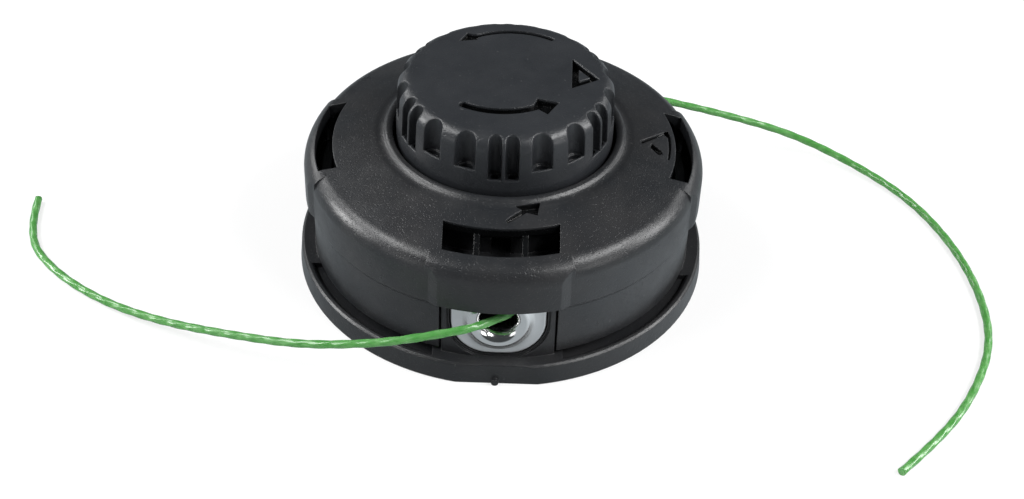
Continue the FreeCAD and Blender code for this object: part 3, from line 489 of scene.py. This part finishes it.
def grid_faces(rows, columns, wrap):
    """Quads between the rows and columns of a grid of points; wrap closes each row on itself."""
    across = np.arange(columns if wrap else columns - 1)
    down = np.arange(rows - 1)[:, None]
    beside = (across + 1) % columns
    quads = np.stack([down * columns + across, down * columns + beside,
                      (down + 1) * columns + beside, (down + 1) * columns + across], axis=-1)
    return quads.reshape(-1, 4).tolist()


def soften(obj, sharp):
    """Smooth shading that breaks where faces meet at more than the sharp angle in degrees."""
    work = bmesh.new()
    work.from_mesh(obj.data)
    bmesh.ops.remove_doubles(work, verts=work.verts, dist=MERGE_FINE)
    for face in work.faces:
        face.smooth = True
    for edge in work.edges:
        edge.smooth = len(edge.link_faces) == 2 and edge.calc_face_angle(0) < math.radians(sharp)
    work.to_mesh(obj.data)
    work.free()


def refine(node, body, material, cutters=(), sharp=SHARP, lead=LARGE_LEAD):
    """A smooth-shaded copy of a rigid node: its doubles are merged, marks cut in and sharp edges kept."""
    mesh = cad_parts[node].data.copy()
    work = bmesh.new()
    work.from_mesh(mesh)
    bmesh.ops.remove_doubles(work, verts=work.verts, dist=MERGE_SOLID)
    work.to_mesh(mesh)
    work.free()
    obj = bpy.data.objects.new(node + "_finish", mesh)
    scene.collection.objects.link(obj)
    for cutter in cutters:
        carve = obj.modifiers.new("mark", "BOOLEAN")
        carve.operation = "DIFFERENCE"
        carve.solver = "EXACT"
        carve.object = cutter
    if cutters:
        settled = bpy.data.meshes.new_from_object(obj.evaluated_get(bpy.context.evaluated_depsgraph_get()))
        obj.modifiers.clear()
        obj.data = settled
        for cutter in cutters:
            bpy.data.objects.remove(cutter)
    soften(obj, sharp)
    weigh = obj.modifiers.new("large_faces_lead", "WEIGHTED_NORMAL")
    weigh.mode = "FACE_AREA"
    weigh.weight = lead
    weigh.keep_sharp = True
    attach(obj, body)
    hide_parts(node)
    paint(obj, material)


def stamp(name, outline, z_low, z_high):
    """A closed prism over an outline of (x, y) places in millimetres, as a cutter for a mark."""
    outline = np.asarray(outline, float)
    area = np.sum(outline[:, 0] * np.roll(outline[:, 1], -1) - outline[:, 1] * np.roll(outline[:, 0], -1))
    if area < 0:
        outline = outline[::-1]
    count = len(outline)
    low = np.column_stack([outline, np.full(count, z_low)])
    high = np.column_stack([outline, np.full(count, z_high)])
    sides = grid_faces(2, count, True)
    lids = [list(range(count))[::-1], list(range(count, 2 * count))]
    return add_mesh(name, np.vstack([low, high]) * MM, sides + lids)


def on_circle(radius, azimuths):
    """Places at a radius and azimuths in degrees, from the front towards the right."""
    angle = np.radians(azimuths)
    return np.column_stack([radius * np.sin(angle), -radius * np.cos(angle)])


def bent_arrow(centre, radius, start, neck, width, head):
    """An arrow along a circle: a stroke with a round end at start, and a head of three places."""
    step = np.sign(neck - start)
    along = np.linspace(start, neck, STROKE_STEPS)
    round_end = np.radians(np.linspace(0, 180, ROUND_STEPS)[1:-1])
    cap_at = start - step * np.degrees(width / 2 / radius) * np.sin(round_end)
    cap_r = radius - width / 2 * np.cos(round_end)
    cap = np.column_stack([cap_r * np.sin(np.radians(cap_at)), -cap_r * np.cos(np.radians(cap_at))])
    outer = on_circle(radius + width / 2, along) + centre
    inner = on_circle(radius - width / 2, along[::-1]) + centre
    return np.vstack([outer, head, inner, cap + centre])


def offset_triangle(corners, inset):
    """A triangle moved inwards from its sides: each corner moves along its half angle to the middle."""
    corners = np.asarray(corners, float)
    before = np.roll(corners, 1, axis=0) - corners
    after = np.roll(corners, -1, axis=0) - corners
    before /= np.linalg.norm(before, axis=1, keepdims=True)
    after /= np.linalg.norm(after, axis=1, keepdims=True)
    middle = before + after
    middle /= np.linalg.norm(middle, axis=1, keepdims=True)
    half = np.arccos(np.clip(np.sum(before * after, axis=1), -1, 1)) / 2
    return corners + middle * (inset / np.sin(half))[:, None]


def triangle_ring(name, corners, width, z_low, z_high):
    """A closed frame between a triangle and the same triangle moved inwards, as a cutter."""
    outer = np.asarray(corners, float)
    inner = offset_triangle(corners, width)
    rings = [np.column_stack([ring, np.full(3, z)]) for ring, z in
             ((outer, z_low), (outer, z_high), (inner, z_high), (inner, z_low))]
    area = np.sum(outer[:, 0] * np.roll(outer[:, 1], -1) - outer[:, 1] * np.roll(outer[:, 0], -1))
    if area < 0:
        rings = [ring[::-1] for ring in rings]
    # The last ring of corners joins the first
    last = 9
    faces = grid_faces(4, 3, True) + [[last + i, last + (i + 1) % 3, (i + 1) % 3, i] for i in range(3)]
    return add_mesh(name, np.vstack(rings) * MM, faces)


def knob_marks():
    """The two turning arrows and the triangle that are sunk into the knob's top."""
    top = KNOB_TOP + ABOVE_KNOB
    return [
        stamp("front_arrow", bent_arrow(*FRONT_ARROW), KNOB_TOP - FRONT_ARROW_DEEP, top),
        stamp("back_arrow", bent_arrow(*BACK_ARROW), KNOB_TOP - BACK_ARROW_DEEP, top),
        triangle_ring("knob_triangle", KNOB_TRIANGLE, KNOB_TRIANGLE_W, KNOB_TOP - KNOB_TRIANGLE_DEEP, top),
    ]


def cover_marks():
    """The triangle of three strokes and the arrow that are sunk into the cover's sloping top.

    Each mark's flat floor lies its depth below the slope's height at its own radius."""
    near = on_circle(SIDE_NEAR[0], np.linspace(*SIDE_NEAR[1], SIDE_STEPS))
    far = on_circle(np.linspace(*SIDE_FAR[0], SIDE_STEPS), np.linspace(*SIDE_FAR[1], SIDE_STEPS))
    marks = (("cover_triangle_top", *COVER_TRIANGLE_TOP),
             ("cover_triangle_side", np.vstack([near, SIDE_END, far]), SIDE_AT, SIDE_DEEP),
             ("cover_triangle_slot", *COVER_TRIANGLE_SLOT),
             ("cover_arrow", *COVER_ARROW))
    return [stamp(name, outline, COVER_RIM_Z - COVER_SLOPE * (at - COVER_RIM_R) - deep, CUTTERS_TOP)
            for name, outline, at, deep in marks]


def step_groove():
    """The cutter of the shadow line under the cover's step: its section turned about the head's axis."""
    radius, height = np.array(STEP_GROOVE).T * MM
    turn = np.linspace(0, 2 * np.pi, STEP_GROOVE_SIDES + 1)[:-1]
    points = np.stack([np.outer(np.cos(turn), radius), np.outer(np.sin(turn), radius),
                       np.broadcast_to(height, (len(turn), len(height)))], axis=2).reshape(-1, 3)
    first = np.arange(len(points)).reshape(-1, len(height))
    after = np.roll(first, -1, axis=0)
    faces = np.stack([first, after, np.roll(after, -1, axis=1), np.roll(first, -1, axis=1)], axis=2)
    return add_mesh("cut_step_groove", points, faces.reshape(-1, 4).tolist())


def nut_thread():
    """The nut's M10 x 1.25 left-hand thread as a screw-shaped cutter.

    At turn a and height z the radius swings between the minor and the major radius as a triangle wave of
    (z / pitch + a), with its peaks and feet cut flat, so the crests climb clockwise as seen from above."""
    turns = np.linspace(0, 1, THREAD_SIDES + 1)[:-1]
    heights = np.linspace(THREAD_LOW, THREAD_HIGH, THREAD_ROWS)
    phase = (heights[:, None] / THREAD_PITCH + turns[None, :]) % 1.0
    wave = np.clip((np.abs(2 * phase - 1) - THREAD_FLAT) / THREAD_FLANK, 0, 1)
    radius = THREAD_MINOR + (THREAD_MAJOR - THREAD_MINOR) * wave
    angle = 2 * np.pi * turns[None, :]
    x = radius * np.cos(angle)
    y = radius * np.sin(angle)
    z = np.broadcast_to(heights[:, None], x.shape)
    points = np.stack([x, y, z], axis=-1).reshape(-1, 3)
    columns = len(turns)
    last = len(points) - columns
    faces = grid_faces(len(heights), columns, True)
    faces += [list(range(columns))[::-1], list(range(last, last + columns))]
    return add_mesh("thread_cutter", points * MM, faces)


def bell_eyelet(node, side, material):
    """A die-cast eyelet in its node's place: a plate on the cup's cylinder with a bell mouth.

    Side is -1 at the front and 1 at the back. The grid goes round the mouth's axis and along its section.
    Over the plate, the front stands proud by a quarter ellipse from the throat to the crest, then by a smooth
    step, 1 - 3 t^2 + 2 t^3, from the crest to the bell's foot, and lifts a little, as t^2, at its rim. The
    back returns to the tube and the throat."""
    corner_at = (EYELET_HALF - EYELET_CORNER, EYELET_CORNER - EYELET_DOWN)
    round_about = np.linspace(0, 2 * np.pi, EYELET_SIDES + 1)[:-1]
    top_corner = math.atan2(EYELET_UP, EYELET_HALF)
    angle = np.union1d(round_about, (top_corner, math.pi - top_corner))
    out, up = np.abs(np.cos(angle)), np.sin(angle)
    reach = np.minimum(EYELET_HALF / np.maximum(out, 1e-6),
                       np.where(up > 0, EYELET_UP, EYELET_DOWN) / np.maximum(np.abs(up), 1e-6))
    # Where the straight sides would pass a lower corner's centre, the corner's circle bounds the plate
    toward = out * corner_at[0] + up * corner_at[1]
    beyond = toward**2 - corner_at[0]**2 - corner_at[1]**2 + EYELET_CORNER**2
    circle = toward + np.sqrt(np.maximum(beyond, 0.0))
    in_corner = (reach * out > corner_at[0]) & (reach * up < corner_at[1])
    reach = np.where(in_corner, circle, reach)
    rows = []
    inner_edge = reach - EYELET_EDGE
    for share in np.linspace(0, 1, EYELET_ROWS) ** EYELET_CROWD:
        radius = THROAT_R + (inner_edge - THROAT_R) * share
        inward = (CREST_R - radius) / (CREST_R - THROAT_R)
        flare = CREST_H - FLARE_DEEP * (1 - np.sqrt(np.clip(1 - inward**2, 0, 1)))
        step = np.clip((radius - CREST_R) / (BELL_R - CREST_R), 0, 1)
        rim = np.clip(1 - (inner_edge - radius) / RIM_W, 0, 1)
        flank = CREST_H * (1 - 3 * step**2 + 2 * step**3) + RIM_H * rim**2 * step
        rows.append((radius, np.where(radius < CREST_R, flare, flank)))
    lip = rows[-1][1]
    for turn in np.radians(EYELET_ROUND):
        rows.append((inner_edge + EYELET_EDGE * np.sin(turn), lip - EYELET_EDGE * (1 - np.cos(turn))))
    whole = np.ones_like(angle)
    rows += [(reach, -EYELET_T * whole), (EYELET_TUBE_R * whole, -EYELET_T * whole)]
    radius = np.array([row[0] for row in rows])
    proud = np.array([row[1] for row in rows])
    x = radius * np.cos(angle)
    y = -np.sqrt((EYELET_FACE_R + proud)**2 - x**2)
    # The tube's inner end, then back up the throat
    for tube_r in (EYELET_TUBE_R, THROAT_R):
        x = np.vstack([x, tube_r * np.cos(angle)])
        y = np.vstack([y, -EYELET_END_R * whole])
        radius = np.vstack([radius, tube_r * whole])
    z = EYELET_Z + radius * np.sin(angle)
    points = np.stack([-side * x, -side * y, z], axis=-1).reshape(-1, 3)
    count = len(angle)
    last = len(points) - count
    faces = grid_faces(len(radius), count, True)
    faces += [[last + i, last + (i + 1) % count, (i + 1) % count, i] for i in range(count)]
    obj = add_mesh(node + "_finish", points * MM, faces, "housing", material)
    work = bmesh.new()
    work.from_mesh(obj.data)
    bmesh.ops.recalc_face_normals(work, faces=work.faces)
    work.to_mesh(obj.data)
    work.free()
    soften(obj, EYELET_SHARP)
    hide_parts(node)


def free_line(name, node, route, material):
    """A twisted free line, as a mesh tube along a smooth curve with the route's points as controls.

    Round the curve the section's radius is (core + lobe * cos(lobes * phi)) of the line's radius, a square
    with soft corners, and phi turns once for each twist length along the line."""
    data = bpy.data.curves.new(name + "_path", "CURVE")
    data.dimensions = "3D"
    spline = data.splines.new("NURBS")
    spline.points.add(len(route) - 1)
    for point, place in zip(spline.points, route):
        point.co = (*place, 1.0)
    spline.order_u = 3
    spline.use_endpoint_u = True
    spline.resolution_u = CURVE_STEPS
    guide = bpy.data.objects.new(name + "_path", data)
    scene.collection.objects.link(guide)
    sampled = bpy.data.meshes.new_from_object(guide)
    along = np.empty(3 * len(sampled.vertices))
    sampled.vertices.foreach_get("co", along)
    bpy.data.objects.remove(guide)
    bpy.data.meshes.remove(sampled)
    along = along.reshape(-1, 3)
    gone = np.concatenate([[0.0], np.cumsum(np.linalg.norm(np.diff(along, axis=0), axis=1))])
    count = int(gone[-1] / LINE_STEP)
    at = np.linspace(0.0, gone[-1], count)
    line = np.column_stack([np.interp(at, gone, along[:, i]) for i in range(3)])
    ahead = np.gradient(line, axis=0)
    ahead /= np.linalg.norm(ahead, axis=1, keepdims=True)
    side = np.cross(ahead, (0.0, 0.0, 1.0))
    side /= np.linalg.norm(side, axis=1, keepdims=True)
    over = np.cross(side, ahead)
    around = np.linspace(0, 2 * np.pi, LINE_SIDES + 1)[:-1]
    turn = around[None, :] + 2 * np.pi * at[:, None] / TWIST
    radius = LINE_D / 2 * (LINE_CORE + LINE_LOBE * np.cos(LINE_LOBES * around))[None, :]
    points = line[:, None] + radius[..., None] * (
        np.cos(turn)[..., None] * side[:, None] + np.sin(turn)[..., None] * over[:, None])
    points = points.reshape(-1, 3)
    columns = len(around)
    last = len(points) - columns
    faces = grid_faces(count, columns, True)
    faces = [face[::-1] for face in faces]
    faces += [list(range(columns)), list(range(last, last + columns))[::-1]]
    obj = add_mesh(name, points, faces, "housing", material)
    obj.data.polygons.foreach_set("use_smooth", np.append(np.ones(len(faces) - 2, bool), [False, False]))
    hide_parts(node)


# The head: the stage, the finishes, then each piece in its node's place
scene.view_settings.view_transform = "Standard"
place_camera()
set_stage()
# The cones that the tops of the cover and the knob lie on: height on the axis, slope and reach, in metres
cover_cone = ((COVER_RIM_Z + COVER_SLOPE * COVER_RIM_R) * MM, COVER_SLOPE, COVER_MARKS_REACH * MM)
knob_cone = (KNOB_TOP * MM, 0.0, KNOB_MARKS_REACH * MM)
charcoal = moulded_plastic("charcoal_plastic", dark=(0.0105, 0.0115, 0.013), pale=(0.0175, 0.0175, 0.0185),
                           roughness=0.34, edge=0.0004)
cover_plastic = moulded_plastic("cover_plastic", dark=(0.0125, 0.0137, 0.0155), pale=(0.0205, 0.0205, 0.0215),
                                roughness=0.32, edge=0.0004, sunk=cover_cone)
knob_plastic = moulded_plastic("knob_plastic", dark=(0.0155, 0.017, 0.0195), pale=(0.023, 0.0247, 0.0275),
                               roughness=0.32, edge=0.0006, sunk=knob_cone)
zinc = bright_metal("cast_zinc", colour=(0.84, 0.84, 0.84), smooth=0.15, rough=0.42, mouth=0.0064, edge=0.0002)
# The scales of the streaks' noise on turned and on drawn steel along x, y and z: a smaller one draws them out
turned, drawn = (1, 1, 0.2), (0.3, 0.3, 1)
nut_steel = plain_metal("nut_steel", colour=(0.55, 0.54, 0.52), roughness=0.36, stretch=turned, edge=0.0003)
washer_steel = plain_metal("washer_steel", colour=(0.50, 0.50, 0.50), roughness=0.32, stretch=turned, edge=0.0002)
ring_steel = plain_metal("ring_steel", colour=(0.16, 0.155, 0.15), roughness=0.45, stretch=turned, edge=0.0002)
spring_wire = plain_metal("spring_wire", colour=(0.36, 0.35, 0.34), roughness=0.34, stretch=drawn, edge=0.0002)
green = green_nylon("green_nylon")
refine("case", "housing", charcoal)
refine("cover", "housing", cover_plastic, cover_marks() + [step_groove()], COVER_SHARP, COVER_LEAD)
refine("spool", "reel", charcoal)
refine("knob", "reel", knob_plastic, knob_marks())
refine("drive_nut", "housing", nut_steel, [nut_thread()])
refine("retaining_ring", "housing", ring_steel)
bell_eyelet("eyelet_front", -1, zinc)
bell_eyelet("eyelet_rear", 1, zinc)
refine("thrust_washer", "bump_carrier", washer_steel)
refine("line_coil_lower", "reel", green)
refine("line_coil_upper", "reel", green)
free_line("line_front_twist", "line_front", FRONT_ROUTE, green)
free_line("line_rear_twist", "line_rear", REAR_ROUTE, green)
paint(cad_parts["bump_spring"], spring_wire)
